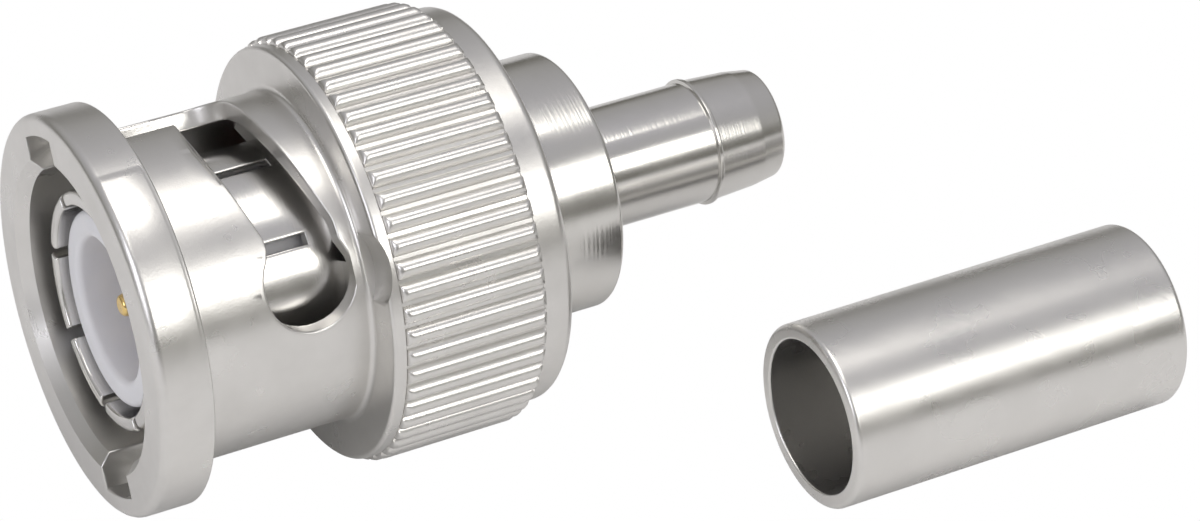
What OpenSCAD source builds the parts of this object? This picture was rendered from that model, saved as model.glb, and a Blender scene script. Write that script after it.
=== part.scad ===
// Coaxial bayonet plug for crimped cable, with its crimp ferrule lying beside it.
// The plug lies on its side, as it comes to rest on a table: its axis runs along X, with the
// mating end towards +X, and +Z is up. The origin is on the axis at the front face of the
// slotted outer contact. Inside the modules each piece stands on its own axis: z is the
// distance from the mouth of the crimp stem, and angle 0 is the top of the lying plug.

/* [Crimp stem and collar] */
// Diameter of the knurled part of the crimp stem
stem_d = 4.46; // [4.2:0.02:4.8]
// Length of the crimp stem, from its mouth to the collar
stem_len = 7.65; // [6:0.05:10]
// Length of the smooth nose at the mouth of the stem
nose_len = 2.55; // [1.5:0.05:3]
// Diameter of the nose at its tip
nose_tip_d = 3.76; // [3.6:0.02:4]
// Bore for the cable's dielectric
cable_bore_d = 3.2; // [2.8:0.05:3.3]
// Length of the cable bore
cable_bore_len = 9; // [8:0.1:9.2]
// Diameter of the collar behind the coupling nut
collar_d = 8.84; // [8.4:0.02:9]
// Length of collar that shows behind the coupling nut
collar_show = 3.15; // [2:0.05:5]
// Bevel on the rear edge of the collar
collar_bevel = 0.14; // [0.05:0.01:0.3]
// Diameter of the neck that the coupling nut turns on
neck_d = 7.4; // [7:0.05:7.6]

/* [Coupling nut] */
// Overall length of the nut
nut_len = 14.5; // [14:0.05:16]
// Diameter of the front flange
flange_d = 13.5; // [13.2:0.05:14]
// Thickness of the front flange
flange_t = 1.8; // [1.4:0.05:2.2]
// Rounding of the flange's front edge
flange_round = 0.6; // [0.3:0.05:0.7]
// Angle that the bare raised pad covers on the flange's rim
pad_angle = 66; // [30:1:80]
// Angle of the pad's middle, seen from the front
pad_turn = -51; // [-90:1:0]
// Diameter of the thin skirt that carries the bayonet slots
skirt_d = 11.16; // [11:0.02:11.6]
// Diameter over the crests of the grip ridges
grip_d = 14.5; // [14.3:0.05:15.5]
// Length of the grip ridges
grip_len = 5; // [3:0.05:5.3]
// Number of grip ridges
grip_count = 58; // [40:1:64]
// Height of the ridges above the valleys between them
grip_height = 0.27; // [0.15:0.01:0.4]
// Diameter of the plain lip in front of the ridges
lip_d = 14.06; // [13.9:0.02:14.2]
// Length of the plain lip in front of the ridges
lip_len = 0.45; // [0.3:0.05:0.8]
// Diameter of the plain band behind the ridges
band_d = 13.6; // [13.2:0.05:13.9]
// Length of the plain band behind the ridges
band_len = 1.15; // [0.9:0.05:1.4]
// Bore that the jack's barrel enters
nut_bore_d = 9.86; // [9.78:0.02:9.92]
// Bevel at the mouth of the nut's bore
mouth_bevel = 0.38; // [0.2:0.02:0.5]
// Thickness of the inner rib that presses on the washers
rib_t = 1.1; // [0.8:0.05:1.2]
// Depth of the recess that takes the end of the collar
recess_depth = 0.75; // [0.5:0.05:0.9]

/* [Bayonet slots] */
// Width of the slots, for a stud of 2 mm
slot_w = 2.4; // [2.2:0.02:2.6]
// Diameter of the hole that the stud locks in
lock_hole_d = 3.12; // [2.8:0.02:3.3]
// Angle of the first slot's entry, seen from the front
entry_turn = 25; // [0:1:90]
// Angle that the nut turns from entry to lock
lock_turn = 89; // [75:1:95]
// Distance from the front face to the middle of the slot at its start
slot_start = 5.25; // [4.8:0.05:5.6]
// Diameter of the clearance that the hole's cutter leaves in the shoulder
cutter_d = 4.4; // [4:0.05:4.4]
// How far the slot runs back on its way to the lock
slot_drop = 0.82; // [0.6:0.02:1]
// Distance from the front face to the middle of the lock hole
lock_depth = 6; // [5.8:0.02:6.1]
// Diameter over the grooves that let the studs through the flange
groove_span = 12.1; // [11.5:0.1:12.4]

/* [Outer contact] */
// Diameter over the spring fingers
finger_d = 8.1; // [8:0.01:8.14]
// Thickness of the spring fingers
finger_t = 0.5; // [0.4:0.01:0.55]
// Distance from the nut's front face back to the fingers' ends
finger_recess = 0.7; // [0.3:0.05:1.5]
// Number of saw cuts between the fingers
finger_count = 8; // [4:1:8]
// Width of the saw cuts
finger_gap = 0.38; // [0.3:0.01:0.5]
// Depth of the saw cuts
finger_cut = 6.1; // [4:0.1:7]
// Angle of the first saw cut
finger_turn = -48; // [-60:1:60]
// Diameter of the contact's flange
contact_flange_d = 9.56; // [9.4:0.02:9.6]
// Thickness of the contact's flange
contact_flange_t = 0.9; // [0.6:0.05:1.1]
// Diameter of the seat under the gasket
gasket_seat_d = 8.5; // [8.42:0.02:8.7]

/* [Gasket and washers] */
// Thickness of the gasket
gasket_t = 1.1; // [0.8:0.05:1.3]
// Outer diameter of the gasket
gasket_d = 9.56; // [9.4:0.02:9.6]
// Outer diameter of the flat and wave washers
washer_d = 9.5; // [9.2:0.02:9.6]
// Thickness of the flat thrust washer
thrust_t = 0.3; // [0.2:0.02:0.4]
// Thickness of the wave washers' sheet
wave_t = 0.2; // [0.12:0.01:0.25]
// Height of each relaxed wave washer
wave_h = 0.5; // [0.4:0.01:0.6]
// Number of waves round each washer
wave_count = 3; // [3:1:4]

/* [Insulator and centre contact] */
// Diameter of the insulator's cup between the fingers
cup_d = 6.6; // [6.4:0.02:6.8]
// Bore of the insulator's cup
cup_bore_d = 4.84; // [4.8:0.02:5]
// Depth of the cup
cup_depth = 5.9; // [5:0.1:6.5]
// Distance from the fingers' ends back to the cup's rim
cup_recess = 0.3; // [0:0.05:0.6]
// Diameter of the insulator's rear shank
shank_d = 5.16; // [4.8:0.02:5.2]
// Diameter of the centre pin
pin_d = 1.35; // [1.32:0.01:1.37]
// Distance from the cup's rim back to the pin's tip
pin_recess = 0.45; // [0:0.05:1]
// Length of the pin's tapered tip
pin_taper = 1.1; // [0.6:0.1:1.5]
// Diameter of the pin's blunt end
pin_tip_d = 0.6; // [0.4:0.05:0.8]
// Diameter of the pin's shaft inside the insulator
shaft_d = 1.74; // [1.7:0.02:1.8]
// Diameter of the barrel that holds the cable's wire
barrel_d = 1.9; // [1.7:0.05:2]
// Bore of the barrel
wire_bore_d = 1; // [0.9:0.05:1.1]

/* [Crimp ferrule] */
// Outer diameter of the ferrule
ferrule_d = 6.32; // [6:0.02:6.8]
// Bore of the ferrule
ferrule_bore_d = 5.3; // [5.2:0.02:5.4]
// Length of the ferrule
ferrule_len = 12.8; // [10:0.1:15]
// Sideways distance from the plug's axis to the ferrule's axis
ferrule_side = 11.03; // [10.6:0.05:20]
// Distance from the ferrule's front end back to the stem's shoulder at the collar
ferrule_back = 3.3; // [3.3:0.1:8]

/* [Hidden] */

$fn = 96;
// Running gap round what turns or slides, and the fit of what is pressed together
running = 0.08;
seated = 0.02;
past = 1;

nickel = [0.78, 0.77, 0.75];
steel = [0.70, 0.70, 0.71];
gold = [0.88, 0.70, 0.34];
ptfe = [0.93, 0.93, 0.95];
silicone = [0.38, 0.07, 0.06];

// Places along the axis, from the mouth of the stem
collar_z = stem_len;
nut_z = collar_z + collar_show;
nut_front = nut_z + nut_len;
rib_z = nut_z + recess_depth;
bore_z = rib_z + rib_t;
collar_front = rib_z - running / 2;
grip_z = nut_z + band_len;
shoulder_z = grip_z + grip_len + lip_len;
flange_z = nut_front - flange_t;
thrust_z = bore_z + seated;
wave_rear_z = thrust_z + thrust_t + seated;
wave_front_z = wave_rear_z + wave_h + seated;
contact_flange_z = wave_front_z + wave_h + seated;
gasket_z = contact_flange_z + contact_flange_t + seated;
finger_z = gasket_z + gasket_t + seated;
finger_front = nut_front - finger_recess;
cup_front = finger_front - cup_recess;
cup_floor = cup_front - cup_depth;
pin_front = cup_front - pin_recess;
spigot_z = collar_front + 0.8;
spigot_d = neck_d - 1.2;
inner_step_z = finger_z + 0.45;

// Radii of what sits in something else
neck_hole_r = neck_d / 2 + running;
recess_r = collar_d / 2 + 0.18;
shank_hole_r = shank_d / 2 + seated;
cavity_r = shank_d / 2 - 0.55;

// Points of an arc about [r, z] centre c, from angle a to angle b
function arc(c, r, a, b, n = 6) =
    [for (i = [0:n]) c + r * [cos(a + (b - a) * i / n), sin(a + (b - a) * i / n)]];

// Lays an upright piece along the plug's axis
module lay() {
    translate([-finger_front, 0, 0]) rotate([0, 90, 0]) rotate([0, 0, 180]) children();
}

// Ring between two radii and two heights
module ring(r_in, r_out, z_low, z_high) {
    rotate_extrude() translate([r_in, z_low]) square([r_out - r_in, z_high - z_low]);
}

// Outer form of the nut: rear band, lip, shoulder with its fillet, skirt and flange
module nut_outline() {
    bevel = 0.22;
    edge = 0.12;
    fillet = 0.38;
    rotate_extrude() polygon(concat(
        [[0, nut_z], [band_d / 2 - bevel, nut_z], [band_d / 2, nut_z + bevel], [band_d / 2, grip_z],
         [lip_d / 2, grip_z]],
        arc([lip_d / 2 - edge, shoulder_z - edge], edge, 0, 90, 3),
        arc([skirt_d / 2 + fillet, shoulder_z + fillet], fillet, 270, 180),
        [[skirt_d / 2, flange_z]],
        arc([flange_d / 2 - edge, flange_z + edge], edge, -90, 0, 3),
        arc([flange_d / 2 - flange_round, nut_front - flange_round], flange_round, 0, 90),
        [[0, nut_front]]
    ));
}

// Straight grip ridges with round crests, whose ends are rounded off too
module grip_ridges() {
    crest = grip_d / 2;
    valley = crest - grip_height;
    pitch = 360 / grip_count;
    steps = 5;
    end_round = 0.24;
    intersection() {
        translate([0, 0, grip_z]) linear_extrude(grip_len) polygon([
            for (k = [0:grip_count - 1], i = [0:steps])
                let (a = pitch * (k + 0.86 * i / steps), r = valley + grip_height * pow(sin(180 * i / steps), 0.7))
                    r * [cos(a), sin(a)]
        ]);
        rotate_extrude() polygon(concat(
            [[0, grip_z]],
            arc([crest - end_round, grip_z + end_round], end_round, -90, 0, 4),
            arc([crest - end_round, grip_z + grip_len - end_round], end_round, 0, 90, 4),
            [[0, grip_z + grip_len]]
        ));
    }
}

// Bare raised pad on the flange's rim
module rim_pad() {
    inset = 0.15;
    rotate([0, 0, pad_turn - pad_angle / 2]) rotate_extrude(angle = pad_angle)
        translate([flange_d / 2 - 1, flange_z + inset]) square([1.03, flange_t - 2 * inset]);
}

// Ramp swept round the skirt, from the corner that the cutter leaves round behind the entry to the lock hole:
// level at first, then falling faster and faster
module slot_ramp() {
    steps = 14;
    level_turn = 17;
    fall_end = 0.8 * lock_turn;
    r_in = nut_bore_d / 2 - 0.6;
    r_out = skirt_d / 2 + 0.6;
    half = slot_w / 2;
    corner_turn = asin(2 * half / (nut_bore_d / 2 + skirt_d / 2));
    turns = concat([for (i = [-9:2:-1]) 0.1 * i * corner_turn], [0],
                   [for (i = [0:steps]) level_turn + (lock_turn - level_turn) * i / steps]);
    points = [for (turn = turns)
        let (fall = max(0, min(1, (turn - level_turn) / (fall_end - level_turn))),
             mid = nut_front - slot_start - slot_drop * pow(fall, 1.8),
             low = mid - half * sqrt(1 - pow(min(0, turn / corner_turn), 2)), a = entry_turn - turn)
            for (p = [[r_in, low], [r_out, low], [r_out, mid + half], [r_in, mid + half]])
                [p[0] * cos(a), p[0] * sin(a), p[1]]];
    last = 4 * (len(turns) - 1);
    sides = [for (i = [0:len(turns) - 2], k = [0:3])
        let (a = 4 * i + k, b = 4 * i + (k + 1) % 4) [a, a + 4, b + 4, b]];
    polyhedron(points, concat([[0, 1, 2, 3]], sides, [[for (k = [3:-1:0]) last + k]]), convexity = 4);
}

// One bayonet slot: entry through the flange, ramp, and the hole that the stud locks in
module bayonet_slot() {
    rotate([0, 0, entry_turn]) intersection() {
        translate([0, -slot_w / 2, nut_front - slot_start]) cube([groove_span, slot_w, nut_len]);
        cylinder(d = groove_span, h = nut_front + past);
    }
    slot_ramp();
    rotate([0, 0, entry_turn - lock_turn]) translate([0, 0, nut_front - lock_depth]) rotate([0, 90, 0]) {
        translate([0, 0, nut_bore_d / 2 - past]) cylinder(d = lock_hole_d, h = 2);
        translate([0, 0, skirt_d / 2 + 0.03]) cylinder(d = cutter_d, h = 2);
    }
}

module coupling_nut() {
    color(nickel) lay() difference() {
        union() {
            nut_outline();
            grip_ridges();
            rim_pad();
        }
        translate([0, 0, nut_z - past]) cylinder(r = recess_r, h = recess_depth + past);
        translate([0, 0, nut_z]) cylinder(r = neck_hole_r, h = nut_len);
        translate([0, 0, bore_z]) cylinder(d = nut_bore_d, h = nut_len);
        translate([0, 0, nut_front - mouth_bevel])
            cylinder(d1 = nut_bore_d, d2 = nut_bore_d + 2 * mouth_bevel, h = mouth_bevel);
        for (half_turn = [0, 180]) rotate([0, 0, half_turn]) bayonet_slot();
    }
}

// Slotted sleeve with the flange that traps the washers and the spigot pressed into the neck
module outer_contact() {
    finger_r = finger_d / 2;
    tip_round = 0.22;
    color(nickel) lay() difference() {
        rotate_extrude() polygon(concat(
            [[shank_hole_r, spigot_z], [spigot_d / 2 - seated, spigot_z],
             [spigot_d / 2 - seated, contact_flange_z], [contact_flange_d / 2, contact_flange_z],
             [contact_flange_d / 2, gasket_z - seated], [gasket_seat_d / 2, gasket_z - seated],
             [gasket_seat_d / 2, finger_z], [finger_r, finger_z]],
            arc([finger_r - tip_round, finger_front - tip_round], tip_round, 0, 90),
            [[finger_r - finger_t + 0.12, finger_front], [finger_r - finger_t, finger_front - 0.12],
             [finger_r - finger_t, inner_step_z], [shank_hole_r, inner_step_z]]
        ));
        for (i = [0:finger_count - 1]) rotate([0, 0, finger_turn + i * 360 / finger_count]) {
            translate([finger_r - finger_t - 0.2, -finger_gap / 2, finger_front - finger_cut])
                cube([finger_t + 0.5, finger_gap, finger_cut + past]);
            translate([finger_r - finger_t - 0.2, 0, finger_front - finger_cut])
                rotate([0, 90, 0]) cylinder(d = finger_gap, h = finger_t + 0.5);
        }
    }
}

// Turned body: crimp stem with its nose, collar, and the neck inside the nut
module rear_body() {
    nose_r = stem_d / 2 - 0.09;
    tip_r = nose_tip_d / 2;
    tip_round = 0.14;
    flare = 0.12;
    color(nickel) lay() difference() {
        rotate_extrude() polygon(concat(
            [[0, 0]],
            arc([tip_r - tip_round, tip_round], tip_round, -90, 0, 3),
            [for (i = [1:5])
                [tip_r + (nose_r - tip_r) * sin(18 * i), tip_round + (nose_len - tip_round) * i / 5]],
            [[stem_d / 2, nose_len + 0.05], [stem_d / 2, collar_z],
             [collar_d / 2 - collar_bevel, collar_z], [collar_d / 2, collar_z + collar_bevel],
             [collar_d / 2, collar_front], [neck_d / 2, collar_front],
             [neck_d / 2, contact_flange_z], [0, contact_flange_z]]
        ));
        translate([0, 0, -past]) cylinder(d = cable_bore_d, h = cable_bore_len + past);
        translate([0, 0, -flare])
            cylinder(d1 = cable_bore_d + 2 * flare, d2 = cable_bore_d, h = 2 * flare);
        translate([0, 0, cable_bore_len]) cylinder(r = cavity_r, h = contact_flange_z);
        translate([0, 0, spigot_z - seated]) cylinder(d = spigot_d, h = contact_flange_z);
    }
}

// Cup round the pin, with a shank that fills the contact's bore
module insulator() {
    rim = 0.16;
    cup_r = cup_d / 2;
    bore_r = cup_bore_d / 2;
    shaft_hole_r = shaft_d / 2 + seated;
    color(ptfe) lay() rotate_extrude() polygon(concat(
        [[shaft_hole_r, spigot_z], [shank_d / 2, spigot_z], [shank_d / 2, inner_step_z + seated],
         [cup_r, inner_step_z + seated]],
        arc([cup_r - rim, cup_front - rim], rim, 0, 90, 4),
        arc([bore_r + rim, cup_front - rim], rim, 90, 180, 4),
        [[bore_r, cup_floor], [shaft_hole_r, cup_floor]]
    ));
}

// Turned pin with a tapered tip and a hollow barrel for the wire
module centre_contact() {
    barrel_front = spigot_z - seated;
    barrel_z = cable_bore_len + 0.3;
    color(gold) lay() difference() {
        rotate_extrude() polygon([
            [0, barrel_z], [barrel_d / 2 - 0.1, barrel_z], [barrel_d / 2, barrel_z + 0.1],
            [barrel_d / 2, barrel_front], [shaft_d / 2, barrel_front], [shaft_d / 2, cup_floor],
            [pin_d / 2, cup_floor], [pin_d / 2, pin_front - pin_taper],
            [pin_tip_d / 2 + 0.08, pin_front - 0.12], [pin_tip_d / 2, pin_front], [0, pin_front]
        ]);
        translate([0, 0, barrel_z - past]) cylinder(d = wire_bore_d, h = barrel_front - barrel_z + past);
    }
}

module gasket() {
    bevel = 0.15;
    inner = gasket_seat_d / 2 + seated;
    outer = gasket_d / 2;
    top = gasket_z + gasket_t;
    color(silicone) lay() rotate_extrude() polygon([
        [inner, gasket_z], [outer - bevel, gasket_z], [outer, gasket_z + bevel], [outer, top - bevel],
        [outer - bevel, top], [inner + bevel, top], [inner, top - bevel]
    ]);
}

// Wavy spring ring whose lowest points are at height z
module wave_washer(z) {
    steps = 16 * wave_count;
    rise = (wave_h - wave_t) / 2;
    r_in = neck_d / 2 + 0.2;
    r_out = washer_d / 2;
    function low(i) = z + rise * (1 + sin(360 * wave_count * i / steps));
    points = [for (i = [0:steps - 1]) let (a = 360 * i / steps)
        for (p = [[r_in, low(i)], [r_out, low(i)], [r_out, low(i) + wave_t], [r_in, low(i) + wave_t]])
            [p[0] * cos(a), p[0] * sin(a), p[1]]];
    sides = [for (i = [0:steps - 1], k = [0:3])
        let (next = (i + 1) % steps) [4 * i + k, 4 * i + (k + 1) % 4, 4 * next + (k + 1) % 4, 4 * next + k]];
    polyhedron(points, sides, convexity = 6);
}

module wave_washer_front() {
    color(steel) lay() wave_washer(wave_front_z);
}

module wave_washer_rear() {
    color(steel) lay() rotate([0, 0, 60]) wave_washer(wave_rear_z);
}

module thrust_washer() {
    color(steel) lay() ring(neck_hole_r, washer_d / 2, thrust_z, thrust_z + thrust_t);
}

// Plain tube, lying on the same surface as the plug's grip
module crimp_ferrule() {
    edge = 0.16;
    r_in = ferrule_bore_d / 2;
    r_out = ferrule_d / 2;
    color(nickel) translate([0, ferrule_side, r_out - grip_d / 2]) lay()
        translate([0, 0, collar_z - ferrule_back - ferrule_len]) rotate_extrude() polygon(concat(
            arc([r_out - edge, edge], edge, -90, 0, 4),
            arc([r_out - edge, ferrule_len - edge], edge, 0, 90, 4),
            [[r_in + edge / 2, ferrule_len], [r_in, ferrule_len - edge / 2], [r_in, edge / 2], [r_in + edge / 2, 0]]
        ));
}

coupling_nut();
outer_contact();
rear_body();
insulator();
centre_contact();
gasket();
wave_washer_front();
wave_washer_rear();
thrust_washer();
crimp_ferrule();
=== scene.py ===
import math

import bmesh
import bpy
from mathutils import Matrix, Vector
from mathutils.geometry import delaunay_2d_cdt


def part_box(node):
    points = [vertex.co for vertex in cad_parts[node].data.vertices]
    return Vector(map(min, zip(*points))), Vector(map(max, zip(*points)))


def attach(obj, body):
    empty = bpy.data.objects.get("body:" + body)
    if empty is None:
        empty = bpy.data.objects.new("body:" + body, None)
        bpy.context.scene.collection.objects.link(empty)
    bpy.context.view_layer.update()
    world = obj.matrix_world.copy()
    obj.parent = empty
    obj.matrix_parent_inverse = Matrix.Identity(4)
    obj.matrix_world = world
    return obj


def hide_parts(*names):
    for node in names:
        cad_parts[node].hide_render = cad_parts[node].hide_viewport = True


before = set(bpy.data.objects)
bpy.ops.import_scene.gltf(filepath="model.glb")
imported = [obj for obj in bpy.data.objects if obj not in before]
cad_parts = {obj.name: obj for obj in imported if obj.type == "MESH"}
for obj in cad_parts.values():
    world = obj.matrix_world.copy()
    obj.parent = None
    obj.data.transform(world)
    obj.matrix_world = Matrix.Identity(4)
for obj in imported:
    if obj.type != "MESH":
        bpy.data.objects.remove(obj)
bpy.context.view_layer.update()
mm = 0.001

# ---- Camera -------------------------------------------------------------------------------------
# A long lens looks down on the plug from its mating end, a little to its left.

look = Vector((-0.397173, -0.734815, -0.549819))
up = Vector((-0.261436, -0.483686, 0.835284))
stand = Vector((0.042926, 0.113463, 0.081152))
camera_data = bpy.data.cameras.new("camera")
camera_data.sensor_width = 36
camera_data.lens = 134.91
camera_data.clip_start = 0.01
camera_data.clip_end = 5
camera = bpy.data.objects.new("camera", camera_data)
bpy.context.scene.collection.objects.link(camera)
camera.matrix_world = Matrix.Translation(stand) @ Matrix(
    (look.cross(up), up, -look)).transposed().to_4x4()
bpy.context.scene.camera = camera
bpy.context.scene.view_settings.view_transform = "Standard"

# ---- Table, lamps and studio --------------------------------------------------------------------
# The pieces lie on a plain white table under soft boxes. What the camera and the polished metal see
# of the room is white above, with a darker far side that gives the turned metal its dark streaks.


def tree_of(material):
    """The material's node tree, its nodes and its links, with an empty canvas."""
    material.use_nodes = True
    material.node_tree.nodes.clear()
    return material.node_tree, material.node_tree.nodes, material.node_tree.links


def add_node(nodes, kind, **settings):
    """A node with its properties and its input values set by name or by number."""
    node = nodes.new(kind)
    for key, value in settings.pop("inputs", {}).items():
        node.inputs[key].default_value = value
    for key, value in settings.items():
        setattr(node, key, value)
    return node


lowest, table_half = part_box("crimp_ferrule")[0].z, 1.5
table = bmesh.new()
for x, y in ((-1, -1), (1, -1), (1, 1), (-1, 1)):
    table.verts.new((table_half * x, table_half * y, lowest))
table.faces.new(table.verts)
table_mesh = bpy.data.meshes.new("table")
table.to_mesh(table_mesh)
table_top = bpy.data.objects.new("table", table_mesh)
bpy.context.scene.collection.objects.link(table_top)

white_table = bpy.data.materials.new("white_table")
_, nodes, links = tree_of(white_table)
table_skin = add_node(nodes, "ShaderNodeBsdfPrincipled", inputs={
    "Base Color": (0.86, 0.86, 0.86, 1), "Roughness": 0.8})
table_glow = add_node(nodes, "ShaderNodeEmission", inputs={"Color": (1, 1, 1, 1), "Strength": 1})
ray = add_node(nodes, "ShaderNodeLightPath")
pick = add_node(nodes, "ShaderNodeMixShader")
out = add_node(nodes, "ShaderNodeOutputMaterial")
links.new(ray.outputs["Is Camera Ray"], pick.inputs["Fac"])
links.new(table_skin.outputs[0], pick.inputs[1])
links.new(table_glow.outputs[0], pick.inputs[2])
links.new(pick.outputs[0], out.inputs["Surface"])
table_mesh.materials.append(white_table)

room = bpy.data.worlds.new("room")
bpy.context.scene.world = room
_, nodes, links = tree_of(room)
direction = add_node(nodes, "ShaderNodeTexCoord")
split = add_node(nodes, "ShaderNodeSeparateXYZ")
height = add_node(nodes, "ShaderNodeValToRGB")
ramp = height.color_ramp
ramp.elements[0].position, ramp.elements[0].color = 0.0, (0.62, 0.62, 0.66, 1)
ramp.elements[1].position, ramp.elements[1].color = 1.0, (0.82, 0.81, 0.86, 1)
for place, colour in (
        (0.5, (0.16, 0.15, 0.12, 1)), (0.56, (0.30, 0.29, 0.26, 1)), (0.68, (0.62, 0.61, 0.60, 1))):
    ramp.elements.new(place).color = colour
lift = add_node(nodes, "ShaderNodeMath", operation="MULTIPLY_ADD", inputs={1: 0.5, 2: 0.5})
air = add_node(nodes, "ShaderNodeBackground", inputs={"Strength": 0.62})
white = add_node(nodes, "ShaderNodeBackground", inputs={"Color": (1, 1, 1, 1), "Strength": 1})
ray = add_node(nodes, "ShaderNodeLightPath")
pick = add_node(nodes, "ShaderNodeMixShader")
out = add_node(nodes, "ShaderNodeOutputWorld")
links.new(direction.outputs["Generated"], split.inputs[0])
links.new(split.outputs["Z"], lift.inputs[0])
links.new(lift.outputs[0], height.inputs[0])
links.new(height.outputs[0], air.inputs["Color"])
links.new(ray.outputs["Is Camera Ray"], pick.inputs["Fac"])
links.new(air.outputs[0], pick.inputs[1])
links.new(white.outputs[0], pick.inputs[2])
links.new(pick.outputs[0], out.inputs["Surface"])


def soft_box(name, place, target, width, depth, power, colour):
    """A rectangular lamp at place that faces target."""
    lamp = bpy.data.lights.new(name, "AREA")
    lamp.shape = "RECTANGLE"
    lamp.size, lamp.size_y = width, depth
    lamp.energy = power
    lamp.color = colour
    holder = bpy.data.objects.new(name, lamp)
    bpy.context.scene.collection.objects.link(holder)
    holder.location = place
    holder.rotation_euler = (Vector(target) - Vector(place)).to_track_quat("-Z", "Y").to_euler()


soft_box("top_box", (-0.02, 0.02, 0.30), (-0.012, 0, 0), 0.22, 0.16, 0.30, (1.0, 0.97, 0.91))
soft_box("left_box", (0.22, 0.10, 0.12), (-0.01, 0, 0), 0.12, 0.16, 0.15, (0.93, 0.93, 1.0))
soft_box("front_box", (-0.10, 0.26, 0.16), (-0.01, 0, 0), 0.18, 0.12, 0.20, (1.0, 0.98, 0.94))

# ---- Crimp body ---------------------------------------------------------------------------------
# Turned from brass rod and nickel plated: a stem that the cable's braid is crimped on, plain here
# where the real one is knurled, a smooth nose, a collar, and the neck that the nut turns on.


def at_turn(x, radius, turn):
    """Point at distance x along the plug's axis, turned by degrees from the top."""
    a = math.radians(turn)
    return (x, -radius * math.sin(a), radius * math.cos(a))


def soften(corners, steps=5):
    """Outline through (x, radius, rounding) corners, with arcs between close support points."""
    outline = []
    for i, (x, r, rounding) in enumerate(corners):
        if not rounding:
            outline.append((x, r))
            continue
        here = Vector((x, r))
        before = Vector(corners[i - 1][:2]) - here
        after = Vector(corners[(i + 1) % len(corners)][:2]) - here
        half = before.angle(after) / 2
        reach = rounding / math.tan(half)
        reach = min(reach, 0.48 * before.length, 0.48 * after.length)
        before.normalize()
        after.normalize()
        radius = reach * math.tan(half)
        middle = here + (before + after).normalized() * radius / math.sin(half)
        first, last = here + before * reach - middle, here + after * reach - middle
        swing = first.angle_signed(last)
        outline.append(tuple(here + before * (reach * 1.15)))
        for k in range(steps + 1):
            outline.append(tuple(middle + Matrix.Rotation(-swing * k / steps, 2) @ first))
        outline.append(tuple(here + after * (reach * 1.15)))
    return outline


def add_piece(name, points, faces, material, merge=0.0005 * mm):
    """Mesh object with merged doubles, outward faces, and edges sharp past 40 degrees."""
    mesh = bpy.data.meshes.new(name)
    mesh.from_pydata(points, [], faces)
    work = bmesh.new()
    work.from_mesh(mesh)
    bmesh.ops.remove_doubles(work, verts=work.verts, dist=merge)
    bmesh.ops.dissolve_degenerate(work, edges=work.edges, dist=merge / 10)
    bmesh.ops.recalc_face_normals(work, faces=work.faces)
    work.to_mesh(mesh)
    work.free()
    mesh.shade_smooth()
    mesh.set_sharp_from_angle(angle=math.radians(40))
    mesh.materials.append(material)
    piece = bpy.data.objects.new(name, mesh)
    bpy.context.scene.collection.objects.link(piece)
    return piece


def turned(outline, sides=192, closed=True, wobble=None):
    """Points and faces of an outline turned about the plug's axis.

    wobble, where given, changes a radius by its place along the axis and its turn.
    """
    count = len(outline)
    points, faces = [], []
    for k in range(sides):
        turn = 360 * k / sides
        points += [at_turn(x, wobble(x, r, turn) if wobble else r, turn) for x, r in outline]
        a, b = k * count, (k + 1) % sides * count
        faces += [(a + i, a + (i + 1) % count, b + (i + 1) % count, b + i)
                  for i in range(count if closed else count - 1)]
    return points, faces


def value_group(name, inputs, outputs):
    """A shader node group with float inputs and outputs, to put texture values together in."""
    group = bpy.data.node_groups.new(name, "ShaderNodeTree")
    for socket, value in inputs.items():
        made = group.interface.new_socket(socket, in_out="INPUT", socket_type="NodeSocketFloat")
        made.default_value = value
    for socket in outputs:
        group.interface.new_socket(socket, in_out="OUTPUT", socket_type="NodeSocketFloat")
    return group, group.nodes.new("NodeGroupInput"), group.nodes.new("NodeGroupOutput")


# Fine rings that a lathe tool leaves round the plug's axis, and the cloudy satin of the plating
plating, source, result = value_group(
    "plating_texture", {"Rings per mm": 14.0, "Cloud size": 3.0, "Ring share": 0.5},
    ("Height", "Cloud"))
nodes, links = plating.nodes, plating.links
place = add_node(nodes, "ShaderNodeTexCoord")
axes = add_node(nodes, "ShaderNodeSeparateXYZ")
links.new(place.outputs["Object"], axes.inputs[0])
along = add_node(nodes, "ShaderNodeMath", operation="MULTIPLY", inputs={1: 1000})
radius_y = add_node(nodes, "ShaderNodeCombineXYZ")
radial = add_node(nodes, "ShaderNodeVectorMath", operation="LENGTH")
links.new(axes.outputs["X"], along.inputs[0])
links.new(axes.outputs["Y"], radius_y.inputs["Y"])
links.new(axes.outputs["Z"], radius_y.inputs["Z"])
links.new(radius_y.outputs[0], radial.inputs[0])
radial_mm = add_node(nodes, "ShaderNodeMath", operation="MULTIPLY", inputs={1: 1000})
links.new(radial.outputs["Value"], radial_mm.inputs[0])
ring_line = add_node(nodes, "ShaderNodeMath", operation="ADD")
links.new(along.outputs[0], ring_line.inputs[0])
links.new(radial_mm.outputs[0], ring_line.inputs[1])
ring_scale = add_node(nodes, "ShaderNodeMath", operation="MULTIPLY")
links.new(ring_line.outputs[0], ring_scale.inputs[0])
links.new(source.outputs["Rings per mm"], ring_scale.inputs[1])
rings = add_node(nodes, "ShaderNodeTexNoise", noise_dimensions="1D", inputs={
    "Scale": 1.0, "Detail": 2.0})
links.new(ring_scale.outputs[0], rings.inputs["W"])
cloud_scale = add_node(nodes, "ShaderNodeMath", operation="DIVIDE", inputs={0: 1000.0})
links.new(source.outputs["Cloud size"], cloud_scale.inputs[1])
cloud = add_node(nodes, "ShaderNodeTexNoise", inputs={"Detail": 3.0, "Roughness": 0.6})
links.new(place.outputs["Object"], cloud.inputs["Vector"])
links.new(cloud_scale.outputs[0], cloud.inputs["Scale"])
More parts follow.
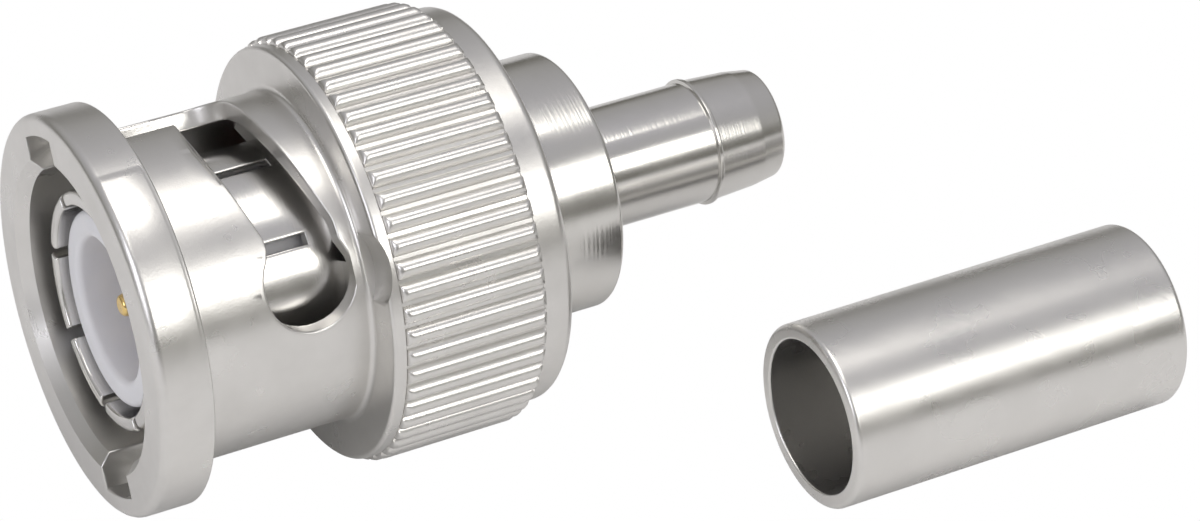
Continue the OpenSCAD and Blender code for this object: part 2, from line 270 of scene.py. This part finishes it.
grain = add_node(nodes, "ShaderNodeTexNoise", inputs={
    "Scale": 14000.0, "Detail": 2.0, "Roughness": 0.7})
links.new(place.outputs["Object"], grain.inputs["Vector"])
both = add_node(nodes, "ShaderNodeMix", data_type="FLOAT")
links.new(source.outputs["Ring share"], both.inputs["Factor"])
links.new(grain.outputs["Fac"], both.inputs["A"])
links.new(rings.outputs["Fac"], both.inputs["B"])
links.new(both.outputs["Result"], result.inputs["Height"])
links.new(cloud.outputs["Fac"], result.inputs["Cloud"])


def plated(name, pale, dull, smooth, rough, bump, rings_per_mm, ring_share, cloud_size):
    """Plated metal, from dull to pale and from rough to smooth with the cloud."""
    material = bpy.data.materials.new(name)
    _, nodes, links = tree_of(material)
    texture = add_node(nodes, "ShaderNodeGroup", node_tree=plating)
    texture.inputs["Rings per mm"].default_value = rings_per_mm
    texture.inputs["Ring share"].default_value = ring_share
    texture.inputs["Cloud size"].default_value = cloud_size
    colour = add_node(nodes, "ShaderNodeMix", data_type="RGBA")
    colour.inputs["A"].default_value = (*dull, 1)
    colour.inputs["B"].default_value = (*pale, 1)
    gloss = add_node(nodes, "ShaderNodeMapRange", inputs={
        "From Min": 0.3, "From Max": 0.7, "To Min": rough, "To Max": smooth})
    dent = add_node(nodes, "ShaderNodeBump", inputs={"Strength": bump, "Distance": 0.01 * mm})
    skin = add_node(nodes, "ShaderNodeBsdfPrincipled", inputs={"Metallic": 1.0})
    out = add_node(nodes, "ShaderNodeOutputMaterial")
    links.new(texture.outputs["Cloud"], colour.inputs["Factor"])
    links.new(texture.outputs["Cloud"], gloss.inputs["Value"])
    links.new(texture.outputs["Height"], dent.inputs["Height"])
    links.new(colour.outputs["Result"], skin.inputs["Base Color"])
    links.new(gloss.outputs["Result"], skin.inputs["Roughness"])
    links.new(dent.outputs["Normal"], skin.inputs["Normal"])
    links.new(skin.outputs[0], out.inputs["Surface"])
    return material


bright_nickel = plated(
    "bright_nickel", pale=(0.80, 0.79, 0.77), dull=(0.66, 0.65, 0.62), smooth=0.14, rough=0.24,
    bump=0.25, rings_per_mm=10, ring_share=0.7, cloud_size=2.5)

body_low, body_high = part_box("rear_body")
mouth, collar_r = body_low.x, body_high.z
stem_r, neck_r, bore_r = 2.23 * mm, 3.7 * mm, 1.6 * mm
mouth_r, taper_r, nose_r = 1.88 * mm, 2.02 * mm, 2.12 * mm
bead_r, plain_r = stem_r - 0.02 * mm, stem_r - 0.14 * mm
seat_r, cavity_r = 2.98 * mm, 2.03 * mm
taper_end, nose_end, stem_end = mouth + 0.9 * mm, mouth + 2.55 * mm, mouth + 7.65 * mm
bore_end, collar_end, seat_start = mouth + 9 * mm, mouth + 11.51 * mm, mouth + 12.3 * mm
body_outline = soften([
    (bore_end, bore_r, 0), (mouth, bore_r, 0.1 * mm), (mouth, mouth_r, 0.16 * mm),
    (taper_end, taper_r, 0.6 * mm), (nose_end, nose_r, 0.03 * mm),
    (nose_end + 0.05 * mm, bead_r, 0.03 * mm), (nose_end + 0.16 * mm, bead_r, 0.03 * mm),
    (nose_end + 0.2 * mm, plain_r, 0), (stem_end, plain_r, 0.1 * mm),
    (stem_end, collar_r, 0.15 * mm), (collar_end, collar_r, 0.1 * mm),
    (collar_end, neck_r, 0.05 * mm), (body_high.x, neck_r, 0.05 * mm),
    (body_high.x, seat_r, 0), (seat_start, seat_r, 0), (seat_start, cavity_r, 0),
    (bore_end, cavity_r, 0)])
points, faces = turned(body_outline)
crimp_body = add_piece("crimp_body", points, faces, bright_nickel)
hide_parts("rear_body")
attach(crimp_body, "body")

# ---- Centre contact -----------------------------------------------------------------------------
# A turned pin, gold plated, whose tapered tip stands in the middle of the insulator's cup.

gold = plated(
    "gold", pale=(0.93, 0.70, 0.30), dull=(0.83, 0.58, 0.22), smooth=0.16, rough=0.28,
    bump=0.2, rings_per_mm=18, ring_share=0.7, cloud_size=1.0)
pin_low, pin_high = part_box("centre_contact")
barrel_r, shaft_r, tip_r = 0.95 * mm, 0.675 * mm, 0.32 * mm
barrel_end, tip_start = pin_low.x + 3 * mm, pin_high.x - 1.1 * mm
pin_outline = soften([
    (pin_low.x, 0, 0), (pin_low.x, barrel_r, 0.06 * mm), (barrel_end, barrel_r, 0.06 * mm),
    (barrel_end, shaft_r, 0), (tip_start, shaft_r, 0.4 * mm), (pin_high.x, tip_r, 0.14 * mm),
    (pin_high.x, 0, 0)])
points, faces = turned(pin_outline, sides=64, closed=False)
pin = add_piece("centre_pin", points, faces, gold)
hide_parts("centre_contact")
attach(pin, "body")

# ---- Insulator ----------------------------------------------------------------------------------
# Turned white PTFE, a little translucent: a deep cup round the pin with softly rounded rims.

ptfe = bpy.data.materials.new("ptfe")
_, nodes, links = tree_of(ptfe)
place = add_node(nodes, "ShaderNodeTexCoord")
cloud = add_node(nodes, "ShaderNodeTexNoise", inputs={"Scale": 900.0, "Detail": 3.0})
colour = add_node(nodes, "ShaderNodeMix", data_type="RGBA")
colour.inputs["A"].default_value = (0.80, 0.81, 0.86, 1)
colour.inputs["B"].default_value = (0.90, 0.90, 0.93, 1)
fine = add_node(nodes, "ShaderNodeTexNoise", inputs={"Scale": 9000.0, "Detail": 2.0})
dent = add_node(nodes, "ShaderNodeBump", inputs={"Strength": 0.15, "Distance": 0.01 * mm})
skin = add_node(nodes, "ShaderNodeBsdfPrincipled", inputs={
    "Roughness": 0.42, "Subsurface Weight": 0.6, "Subsurface Scale": 0.6 * mm,
    "Subsurface Radius": (1, 1, 1)})
out = add_node(nodes, "ShaderNodeOutputMaterial")
links.new(place.outputs["Object"], cloud.inputs["Vector"])
links.new(place.outputs["Object"], fine.inputs["Vector"])
links.new(cloud.outputs["Fac"], colour.inputs["Factor"])
links.new(fine.outputs["Fac"], dent.inputs["Height"])
links.new(colour.outputs["Result"], skin.inputs["Base Color"])
links.new(dent.outputs["Normal"], skin.inputs["Normal"])
links.new(skin.outputs[0], out.inputs["Surface"])

cup_low, cup_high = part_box("insulator")
cup_r, cup_bore_r, shank_r, pin_hole_r = cup_high.z, 2.42 * mm, 2.58 * mm, 0.77 * mm
shank_end, cup_floor = cup_low.x + 4.23 * mm, cup_high.x - 5.9 * mm
cup_outline = soften([
    (cup_low.x, pin_hole_r, 0), (cup_low.x, shank_r, 0.1 * mm), (shank_end, shank_r, 0),
    (shank_end, cup_r, 0.1 * mm), (cup_high.x, cup_r, 0.2 * mm),
    (cup_high.x, cup_bore_r, 0.22 * mm), (cup_floor, cup_bore_r, 0.3 * mm),
    (cup_floor, pin_hole_r, 0.05 * mm)])
points, faces = turned(cup_outline, sides=128)
cup = add_piece("insulator_cup", points, faces, ptfe)
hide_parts("insulator")
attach(cup, "body")

# ---- Outer contact ------------------------------------------------------------------------------
# A bronze sleeve, bright nickel plated, sawn into eight spring fingers that grip the jack's shell.
# Its flange traps the washers against the nut's inner rib.

contact_nickel = plated(
    "contact_nickel", pale=(0.82, 0.81, 0.79), dull=(0.70, 0.69, 0.67), smooth=0.16, rough=0.26,
    bump=0.2, rings_per_mm=16, ring_share=0.6, cloud_size=2.0)
sleeve_low, sleeve_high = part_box("outer_contact")
finger_r, finger_t, cut_depth = 4.05 * mm, 0.5 * mm, 6.1 * mm
finger_bore_r = finger_r - finger_t
shank_hole_r, spigot_r, gasket_seat_r = 2.6 * mm, 3.08 * mm, 4.12 * mm
cut_end, flange_back = sleeve_high.x - cut_depth, sleeve_high.x - 10.57 * mm
flange_front, seat_end = flange_back + 0.9 * mm, flange_back + 2.04 * mm
cup_seat = flange_back + 2.49 * mm
root_outline = soften([
    (sleeve_low.x, shank_hole_r, 0), (sleeve_low.x, spigot_r, 0.05 * mm),
    (flange_back, spigot_r, 0), (flange_back, sleeve_high.z, 0.08 * mm),
    (flange_front, sleeve_high.z, 0.08 * mm), (flange_front, gasket_seat_r, 0),
    (seat_end, gasket_seat_r, 0.05 * mm), (seat_end, finger_r, 0), (cut_end, finger_r, 0.03 * mm),
    (cut_end, finger_bore_r, 0.03 * mm), (cup_seat, finger_bore_r, 0),
    (cup_seat, shank_hole_r, 0)])


def ring_of_copies(name, single, count, first_turn):
    """Mesh of count copies of single in a ring about the plug's axis, from first_turn on."""
    tree = bpy.data.node_groups.new(name, "GeometryNodeTree")
    tree.interface.new_socket("Geometry", in_out="INPUT", socket_type="NodeSocketGeometry")
    for socket, kind in (("Count", "NodeSocketInt"), ("First turn", "NodeSocketFloat"),
                         ("Material", "NodeSocketMaterial")):
        tree.interface.new_socket(socket, in_out="INPUT", socket_type=kind)
    tree.interface.new_socket("Geometry", in_out="OUTPUT", socket_type="NodeSocketGeometry")
    nodes, links = tree.nodes, tree.links
    source, result = nodes.new("NodeGroupInput"), nodes.new("NodeGroupOutput")
    places = add_node(nodes, "GeometryNodePoints")
    index = add_node(nodes, "GeometryNodeInputIndex")
    pitch = add_node(nodes, "ShaderNodeMath", operation="DIVIDE", inputs={0: 2 * math.pi})
    turn = add_node(nodes, "ShaderNodeMath", operation="MULTIPLY_ADD")
    spin = add_node(nodes, "ShaderNodeCombineXYZ")
    copies = add_node(nodes, "GeometryNodeInstanceOnPoints")
    real = add_node(nodes, "GeometryNodeRealizeInstances")
    paint = add_node(nodes, "GeometryNodeSetMaterial")
    links.new(source.outputs["Count"], places.inputs["Count"])
    links.new(source.outputs["Count"], pitch.inputs[1])
    links.new(index.outputs[0], turn.inputs[0])
    links.new(pitch.outputs[0], turn.inputs[1])
    links.new(source.outputs["First turn"], turn.inputs[2])
    links.new(turn.outputs[0], spin.inputs["X"])
    links.new(places.outputs[0], copies.inputs["Points"])
    links.new(source.outputs["Geometry"], copies.inputs["Instance"])
    links.new(spin.outputs[0], copies.inputs["Rotation"])
    links.new(copies.outputs[0], real.inputs[0])
    links.new(real.outputs[0], paint.inputs["Geometry"])
    links.new(source.outputs["Material"], paint.inputs["Material"])
    links.new(paint.outputs[0], result.inputs[0])
    modifier = single.modifiers.new(name, "NODES")
    modifier.node_group = tree
    values = {"Count": count, "First turn": math.radians(first_turn),
              "Material": single.data.materials[0]}
    for item in tree.interface.items_tree:
        if item.in_out == "INPUT" and item.name in values:
            modifier[item.identifier] = values[item.name]
    bpy.context.view_layer.update()
    depsgraph = bpy.context.evaluated_depsgraph_get()
    ring = bpy.data.meshes.new_from_object(single.evaluated_get(depsgraph))
    bpy.data.objects.remove(single)
    return ring


def join_mesh(piece, extra):
    """Adds the faces of the mesh extra to the piece's own mesh."""
    work = bmesh.new()
    work.from_mesh(piece.data)
    work.from_mesh(extra)
    work.to_mesh(piece.data)
    work.free()
    bpy.data.meshes.remove(extra)


def lofted(count, rows, capped=True):
    """Faces through rows of count points each, closed round, and closed at the ends if capped."""
    faces = [(k * count + i, k * count + (i + 1) % count,
              (k + 1) * count + (i + 1) % count, (k + 1) * count + i)
             for k in range(rows - 1) for i in range(count)]
    if capped:
        faces += [tuple(range(count)), tuple(range((rows - 1) * count, rows * count))]
    return faces


finger_count, first_cut, half_cut, soft_edge = 8, -48, 0.19 * mm, 0.05 * mm


def finger_section(inset):
    """Outline of a finger in (x, radius), drawn in by inset on every free side."""
    inner, outer, tip = finger_bore_r + inset, finger_r - inset, sleeve_high.x - inset
    foot = cut_end - 0.1 * mm
    return soften([(foot, inner, 0), (foot, outer, 0),
                   (tip, outer, 0.2 * mm), (tip, inner, 0.12 * mm)])


points = []
ends = [(soft_edge * (1 - math.sin(math.radians(t))), soft_edge * (1 - math.cos(math.radians(t))))
        for t in range(0, 91, 30)]
stations = [(-1, inset, back) for inset, back in ends]
stations += [(side / 9, 0, 0) for side in range(-8, 9)]
stations += [(1, inset, back) for inset, back in reversed(ends)]
for side, inset, back in stations:
    for x, r in finger_section(inset):
        half_gap = math.degrees(math.asin((half_cut + back) / r))
        points.append(at_turn(x, r, side * (180 / finger_count - half_gap)))
faces = lofted(len(points) // len(stations), len(stations))
one_finger = add_piece("one_finger", points, faces, contact_nickel)
finger_ring = ring_of_copies(
    "spring_fingers", one_finger, finger_count, first_cut + 180 / finger_count)
points, faces = turned(root_outline)
sleeve = add_piece("outer_contact_sleeve", points, faces, contact_nickel)
join_mesh(sleeve, finger_ring)
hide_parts("outer_contact")
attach(sleeve, "body")

# ---- Gasket -------------------------------------------------------------------------------------
# Moulded dark red silicone, matt, pushed over the fingers against the contact's flange.

silicone = bpy.data.materials.new("silicone")
_, nodes, links = tree_of(silicone)
place = add_node(nodes, "ShaderNodeTexCoord")
dust = add_node(nodes, "ShaderNodeTexNoise", inputs={"Scale": 3500.0, "Detail": 3.0})
colour = add_node(nodes, "ShaderNodeMix", data_type="RGBA")
colour.inputs["A"].default_value = (0.22, 0.025, 0.02, 1)
colour.inputs["B"].default_value = (0.33, 0.05, 0.04, 1)
dent = add_node(nodes, "ShaderNodeBump", inputs={"Strength": 0.3, "Distance": 0.01 * mm})
skin = add_node(nodes, "ShaderNodeBsdfPrincipled", inputs={"Roughness": 0.55})
out = add_node(nodes, "ShaderNodeOutputMaterial")
links.new(place.outputs["Object"], dust.inputs["Vector"])
links.new(dust.outputs["Fac"], colour.inputs["Factor"])
links.new(dust.outputs["Fac"], dent.inputs["Height"])
links.new(colour.outputs["Result"], skin.inputs["Base Color"])
links.new(dent.outputs["Normal"], skin.inputs["Normal"])
links.new(skin.outputs[0], out.inputs["Surface"])

seal_low, seal_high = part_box("gasket")
seal_bore_r = 4.14 * mm
seal_outline = soften([
    (seal_low.x, seal_bore_r, 0.1 * mm), (seal_low.x, seal_high.z, 0.22 * mm),
    (seal_high.x, seal_high.z, 0.22 * mm), (seal_high.x, seal_bore_r, 0.22 * mm)])
points, faces = turned(seal_outline, sides=128)
seal = add_piece("red_gasket", points, faces, silicone)
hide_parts("gasket")
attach(seal, "body")

# ---- Washers ------------------------------------------------------------------------------------
# Two wavy rings of spring steel and a flat one, stamped from rolled sheet. They stay as the solids.

spring_steel = plated(
    "spring_steel", pale=(0.66, 0.66, 0.67), dull=(0.50, 0.50, 0.51), smooth=0.28, rough=0.42,
    bump=0.3, rings_per_mm=20, ring_share=0.3, cloud_size=1.5)
for washer in ("wave_washer_front", "wave_washer_rear", "thrust_washer"):
    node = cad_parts[washer]
    if not node.material_slots:
        node.data.materials.append(None)
    for place in node.material_slots:
        place.link = "OBJECT"
        place.material = spring_steel

# ---- Coupling nut -------------------------------------------------------------------------------
# Turned brass, tumbled and nickel plated to a satin. Its flange takes the jack's two studs through
# grooves, and two slots milled through the skirt draw them back to the round holes that lock them.

satin_nickel = plated(
    "satin_nickel", pale=(0.80, 0.79, 0.77), dull=(0.68, 0.67, 0.65), smooth=0.26, rough=0.36,
    bump=0.35, rings_per_mm=5, ring_share=0.15, cloud_size=2.0)

nut_low, nut_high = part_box("coupling_nut")
front, rear = nut_high.x, nut_low.x
skirt_r, bore_wall, groove_r = 5.58 * mm, 4.93 * mm, 6.05 * mm
flange_r, lip_r, band_r = 6.75 * mm, 7.03 * mm, 6.8 * mm
recess_r, neck_hole_r = 4.6 * mm, 3.78 * mm
crest_r, valley_r = nut_high.z, nut_high.z - 0.27 * mm
flange_t, mouth_bevel, shoulder = 1.8 * mm, 0.38 * mm, front - 7.9 * mm
recess_end, rib_end = rear + 0.75 * mm, rear + 1.85 * mm
ridge_rear, ridge_front = rear + 1.15 * mm, rear + 6.15 * mm
half_slot, slot_depth, slot_drop = 1.2 * mm, 5.25 * mm, 0.82 * mm
hole_r, hole_depth = 1.56 * mm, 6 * mm
entry_turn, lock_turn, level_turn = 25, 89, 17
fall_end, fall_power = 0.8 * lock_turn, 1.8
nut_sides = 360
inner_seam, skirt_seam = front - 8.2 * mm, front - 7.5 * mm
back_seam_r, face_seam_r = 6.4 * mm, 6.15 * mm
path_r = (skirt_r + bore_wall) / 2


def skirt_point(s):
    """(x, radius) and the way out of the metal at distance s on the outside.

    It runs down the flange's back, then back along the skirt.
    """
    if s < flange_t:
        return (front - flange_t, skirt_r + flange_t - s), (-1, 0)
    return (front - s, skirt_r), (-0.7, 0.7) if s == flange_t else (0, 1)


bevel_len = mouth_bevel * math.sqrt(2)


def bore_point(s):
    """(x, radius) and the way out of the metal at distance s on the inside.

    It runs across the front face, down the bevel, then back along the bore.
    """
    if s < 0:
        return (front, bore_wall + mouth_bevel - s), (1, 0)
    if s < bevel_len:
        drop = s / math.sqrt(2)
        return (front - drop, bore_wall + mouth_bevel - drop), (0.7, -0.7)
    return (front - mouth_bevel - (s - bevel_len), bore_wall), (0, -1)


def slot_path():
    """(turn, depth from the front face) points round the slot, and the turn of its entry's walls.

    They run from the far wall of the entry, round the lock hole, to its near wall.
    """
    clear, rounds = 0.04 * mm, 24
    corner = math.degrees(math.asin(half_slot / path_r))
    path = [(corner, depth * mm) for depth in (1.9, 2.6, 3.4, 4.2)]
    path += [(corner * math.cos(math.radians(a)),
              slot_depth + half_slot * math.sin(math.radians(a))) for a in range(0, 90, 10)]

    def middle(turn):
        fall = max(0, min(1, (turn - level_turn) / (fall_end - level_turn)))
        return slot_depth + slot_drop * fall ** fall_power

    def off_hole(turn, depth):
        return math.hypot(math.radians(turn - lock_turn) * path_r, depth - hole_depth) - hole_r

    low = [(-t, middle(t) + half_slot) for t in range(0, lock_turn, 2)
           if off_hole(t, middle(t) + half_slot) > clear]
    high = [(-t, middle(t) - half_slot) for t in range(lock_turn, int(corner), -2)
            if off_hole(t, middle(t) - half_slot) > clear]
    start = math.atan2(low[-1][1] - hole_depth, math.radians(-low[-1][0] - lock_turn) * path_r)
    end = math.atan2(high[0][1] - hole_depth, math.radians(-high[0][0] - lock_turn) * path_r)
    if end > start:
        end -= 2 * math.pi
    hole = []
    for k in range(1, rounds):
        a = start + (end - start) * k / rounds
        hole.append((-lock_turn - math.degrees(hole_r * math.cos(a) / path_r),
                     hole_depth + hole_r * math.sin(a)))
    path += low + hole + high
    path += [(-corner, depth * mm) for depth in (3.9, 3.2, 2.6, 1.9)]
    return path, corner


slot_points, entry_corner = slot_path()


def grown(path, by):
    """The open path moved outwards, away from the slot, in the skirt's unrolled plane."""
    flat = [Vector((math.radians(t) * path_r, depth)) for t, depth in path]
    moved = []
    for i, here in enumerate(flat):
        before = (here - flat[i - 1]).normalized() if i else (flat[1] - flat[0]).normalized()
        after = (flat[i + 1] - here).normalized() if i + 1 < len(flat) else before
        side = before + after
        spread = max(0.5, math.cos(before.angle(after, 0) / 2))
        side = Vector((-side.y, side.x)).normalized() / spread
        moved.append(here - side * by)
    return [(math.degrees(p.x / path_r), p.y) for p in moved]


def slot_ring(inside, grow, sink, turned_by):
    """3-D ring round a slot's opening, and its unrolled (turn, distance) points.

    It lies on the inside or the outside of the nut, moved out over the surface by grow and into
    the wall by sink. The unrolled points serve to fill in the surface round it.
    """
    ring, flat = [], []
    roof = [side / 6 for side in range(-6, 7)]
    wall_steps, roof_margin = 8, 0.07 * mm
    straight_end, entry_start = 4.2 * mm, bevel_len + 1.2 * mm

    def put(turn, s, surface):
        (x, r), (out_x, out_r) = surface(s)
        flat.append((turn + turned_by, s))
        ring.append(at_turn(x - out_x * sink, r - out_r * sink, turn + turned_by))

    def wall_turn(r):
        return math.degrees(math.asin((half_slot + grow) / r))

    roof_r = groove_r + min(grow, roof_margin)
    if inside:
        edge_s = [-(roof_r - bore_wall - mouth_bevel) * (1 - k / 4) for k in range(4)]
        edge_s += [0, bevel_len / 2, bevel_len, bevel_len + 0.5 * mm]
        surface, shift = bore_point, bevel_len - mouth_bevel
    else:
        edge_s = [flange_t - (roof_r - skirt_r) * (1 - k / wall_steps) for k in range(wall_steps)]
        surface, shift = skirt_point, 0
    for side in reversed(roof):
        put(wall_turn(surface(edge_s[0])[0][1]) * side * -1, edge_s[0], surface)
    for s in edge_s[1:]:
        put(wall_turn(surface(s)[0][1]), s, surface)
    if not inside:
        put(wall_turn(skirt_r), flange_t, surface)
    else:
        put(wall_turn(bore_wall), entry_start, surface)
    wall_r = bore_wall if inside else skirt_r
    for turn, depth in grown(slot_points, grow):
        off_wall = abs(abs(turn) - entry_corner)
        straight = off_wall < 0.05 + math.degrees(grow / path_r) and depth < slot_depth
        if straight or depth < straight_end:
            turn = math.copysign(wall_turn(wall_r), turn)
        put(turn, depth + shift, surface)
    if inside:
        put(-wall_turn(bore_wall), entry_start, surface)
    else:
        put(-wall_turn(skirt_r), flange_t, surface)
    for s in reversed(edge_s[1:]):
        put(-wall_turn(surface(s)[0][1]), s, surface)
    return ring, flat


def inside_loop(point, loop):
    """Whether the point lies inside the loop of points."""
    x, y = point
    odd = False
    for i, (ax, ay) in enumerate(loop):
        bx, by = loop[i - 1]
        if (ay > y) != (by > y) and x < (bx - ax) * (y - ay) / (by - ay) + ax:
            odd = not odd
    return odd


def near_loop(point, loop, reach):
    """Whether the point lies within reach of one of the loop's points."""
    return any(math.hypot(point[0] - x, point[1] - y) < reach for x, y in loop)


def filled_surface(surface, rows, holes):
    """Points and faces of a surface of revolution with holes, between its first and last row."""
    start_turn, hole_margin = 60, 0.06 * mm
    scale = math.radians(1) * path_r
    loops = []
    for hole in holes:
        middle_turn = sum(t for t, _ in hole) / len(hole)
        lift = 360 * math.ceil((start_turn - middle_turn) / 360)
        loops.append([((t + lift) * scale, s) for t, s in hole])
    flat = []
    for i, s in enumerate(rows):
        for k in range(nut_sides + 1):
            point = ((start_turn + 360 * k / nut_sides) * scale, s)
            seam = i in (0, len(rows) - 1)
            if seam or not any(inside_loop(point, loop) or near_loop(point, loop, hole_margin)
                               for loop in loops):
                flat.append(Vector(point) / mm)
    edges = []
    for loop in loops:
        first = len(flat)
        flat += [Vector(point) / mm for point in loop]
        edges += [(first + i, first + (i + 1) % len(loop)) for i in range(len(loop))]
    verts, _, triangles, _, _, _ = delaunay_2d_cdt(flat, edges, [], 0, 1e-6)
    faces = []
    for triangle in triangles:
        centre = sum((verts[i] for i in triangle), Vector((0, 0))) / len(triangle)
        if not any(inside_loop(centre * mm, loop) for loop in loops):
            faces.append(tuple(triangle))
    points = [at_turn(*surface(v.y * mm)[0], v.x * mm / scale) for v in verts]
    return points, faces


slot_soft = 0.06 * mm
edge_steps = [(grow * slot_soft, sink * slot_soft) for grow, sink in (
    (2.5, 0), (1, 0), (0.62, 0.07), (0.29, 0.29), (0.07, 0.62), (0, 1), (0, 2.5))]
points, faces = [], []


def add_part(new_points, new_faces):
    """Adds points and faces to the lists of the piece in hand."""
    base = len(points)
    points.extend(new_points)
    faces.extend(tuple(base + i for i in face) for face in new_faces)


def strip(rings):
    """Points and faces of a closed strip through rings of equal counts."""
    ring_points = [point for ring in rings for point in ring]
    return ring_points, lofted(len(rings[0]), len(rings), capped=False)


skirt_holes, bore_holes = [], []
for half_turn in (0, 180):
    turned_by = entry_turn + half_turn
    outside = [slot_ring(False, grow, sink, turned_by) for grow, sink in edge_steps]
    within = [slot_ring(True, grow, sink, turned_by) for grow, sink in edge_steps]
    add_part(*strip([ring for ring, _ in outside] + [ring for ring, _ in reversed(within)]))
    skirt_holes.append(outside[0][1])
    bore_holes.append(within[0][1])

back_rows = [flange_t - (back_seam_r - skirt_r) * k / 3 for k in (3, 2, 1)]
skirt_len = front - skirt_seam
skirt_rows = back_rows + [flange_t]
skirt_rows += [flange_t + (skirt_len - flange_t) * k / 16 for k in range(1, 17)]
add_part(*filled_surface(skirt_point, skirt_rows, skirt_holes))
face_rows = [-(face_seam_r - bore_wall - mouth_bevel) * k / 4 for k in (4, 3, 2, 1)]
bore_len = front - mouth_bevel - inner_seam
bore_rows = face_rows + [0, bevel_len / 2, bevel_len]
bore_rows += [bevel_len + bore_len * k / 18 for k in range(1, 19)]
add_part(*filled_surface(bore_point, bore_rows, bore_holes))

pad_turn, pad_half, pad_high, pad_margin, pad_slope = -51, 33, 0.03 * mm, 0.12 * mm, 0.06 * mm


def rim_pad(x, r, turn):
    """The rim's radius, a little higher where the bare pad is."""
    off = min(abs((turn - pad_turn + 180) % 360 - 180) - pad_half, 0)
    side = min(1, -off)
    depth = front - x
    face = max(0, min(1, (depth - pad_margin) / pad_slope))
    face *= max(0, min(1, (flange_t - pad_margin - depth) / pad_slope))
    return r + pad_high * side * face


rim_back = front - flange_t
rim = soften([(rim_back, back_seam_r, 0), (rim_back, flange_r, 0.12 * mm),
              (rim_back + 0.16 * mm, flange_r, 0), (rim_back + 0.2 * mm, flange_r, 0),
              (front - 0.9 * mm, flange_r, 0), (front, flange_r, 0.55 * mm),
              (front, face_seam_r, 0)])
add_part(*turned(rim, nut_sides, closed=False, wobble=rim_pad))
grip = soften([
    (skirt_seam, skirt_r, 0), (shoulder, skirt_r, 0.36 * mm), (shoulder, lip_r, 0.14 * mm),
    (shoulder - 0.45 * mm, lip_r, 0.03 * mm), (ridge_front, valley_r, 0),
    (ridge_front - 0.2 * mm, valley_r, 0), (ridge_rear + 0.2 * mm, valley_r, 0),
    (ridge_rear, valley_r, 0.05 * mm), (ridge_rear, band_r, 0.05 * mm), (rear, band_r, 0.25 * mm),
    (rear, recess_r, 0.06 * mm), (recess_end, recess_r, 0), (recess_end, neck_hole_r, 0),
    (rib_end, neck_hole_r, 0), (rib_end, bore_wall, 0), (inner_seam, bore_wall, 0)])
add_part(*turned(grip, nut_sides, closed=False))
nut = add_piece("ridged_nut", points, faces, satin_nickel, merge=0.002 * mm)

# The cutter that makes a lock hole also bites a shallow clearance into the shoulder beside it
cutter_r, cutter_sides = 2.2 * mm, 48
for half_turn in (0, 180):
    aim = Matrix.Rotation(math.radians(entry_turn - lock_turn + half_turn), 3, "X")
    points = []
    for k in range(cutter_sides):
        a = 2 * math.pi * k / cutter_sides
        for level in (skirt_r + 0.03 * mm, skirt_r + 2 * mm):
            points.append(aim @ Vector((
                front - hole_depth + cutter_r * math.cos(a), -cutter_r * math.sin(a), level)))
    count = 2 * cutter_sides
    faces = [(k, k + 1, (k + 3) % count, (k + 2) % count) for k in range(0, count, 2)]
    faces += [tuple(range(0, count, 2)), tuple(range(1, count, 2))]
    cutter = add_piece("cutter", points, faces, satin_nickel)
    bite = nut.modifiers.new("bite", "BOOLEAN")
    bite.operation = "DIFFERENCE"
    bite.solver = "EXACT"
    bite.object = cutter
    bpy.context.view_layer.update()
    depsgraph = bpy.context.evaluated_depsgraph_get()
    cut_mesh = bpy.data.meshes.new_from_object(nut.evaluated_get(depsgraph))
    nut.modifiers.remove(bite)
    nut.data = cut_mesh
    bpy.data.objects.remove(cutter)
nut.data.set_sharp_from_angle(angle=math.radians(40))

# Ridges: straight, round on top and at their ends, filed by the knurling wheel from the same metal
ridge_count = 58
ridge_high, ridge_half, ridge_round = crest_r - valley_r, 0.43 * 360 / ridge_count, 0.24 * mm
ridge_root, ridge_len, across = valley_r - 0.08 * mm, ridge_front - ridge_rear, 8
lengths = [ridge_round * (1 - math.cos(math.radians(a))) for a in (0, 25, 50, 75, 90)]
stations = lengths + [ridge_len - d for d in reversed(lengths)]
points = []
for d in stations:
    inset = ridge_round - min(d, ridge_len - d)
    drop = ridge_round - math.sqrt(max(0, ridge_round ** 2 - max(0, inset) ** 2))
    points.append(at_turn(ridge_rear + d, ridge_root, ridge_half))
    for i in range(across + 1):
        t = i / across
        rise = ridge_high * math.sin(math.pi * t) ** 0.7 if 0 < i < across else -0.02 * mm
        height = min(valley_r + rise, crest_r - drop)
        points.append(at_turn(ridge_rear + d, height, ridge_half * (1 - 2 * t)))
    points.append(at_turn(ridge_rear + d, ridge_root, -ridge_half))
faces = lofted(across + 3, len(stations))
one_ridge = add_piece("one_ridge", points, faces, satin_nickel)
join_mesh(nut, ring_of_copies("grip_ridges", one_ridge, ridge_count, ridge_half))
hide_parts("coupling_nut")
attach(nut, "nut")

# ---- Crimp ferrule ------------------------------------------------------------------------------
# A plain annealed tube, nickel plated and finely brushed round, that lies beside the plug until the
# cable is crimped. Its edges are lightly rounded.

brushed_nickel = plated(
    "brushed_nickel", pale=(0.80, 0.79, 0.77), dull=(0.70, 0.69, 0.67), smooth=0.24, rough=0.34,
    bump=0.4, rings_per_mm=30, ring_share=0.6, cloud_size=3.0)
tube_low, tube_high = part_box("crimp_ferrule")
tube_r = (tube_high.z - tube_low.z) / 2
tube_axis = Vector((0, (tube_high.y + tube_low.y) / 2, (tube_high.z + tube_low.z) / 2))
tube_bore = 2.65 * mm
tube_outline = soften([(tube_low.x, tube_bore, 0.08 * mm), (tube_low.x, tube_r, 0.17 * mm),
                       (tube_high.x, tube_r, 0.17 * mm), (tube_high.x, tube_bore, 0.08 * mm)])
points, faces = turned(tube_outline)
points = [Vector(point) + tube_axis for point in points]
ferrule = add_piece("crimp_tube", points, faces, brushed_nickel)
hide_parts("crimp_ferrule")
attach(ferrule, "body")
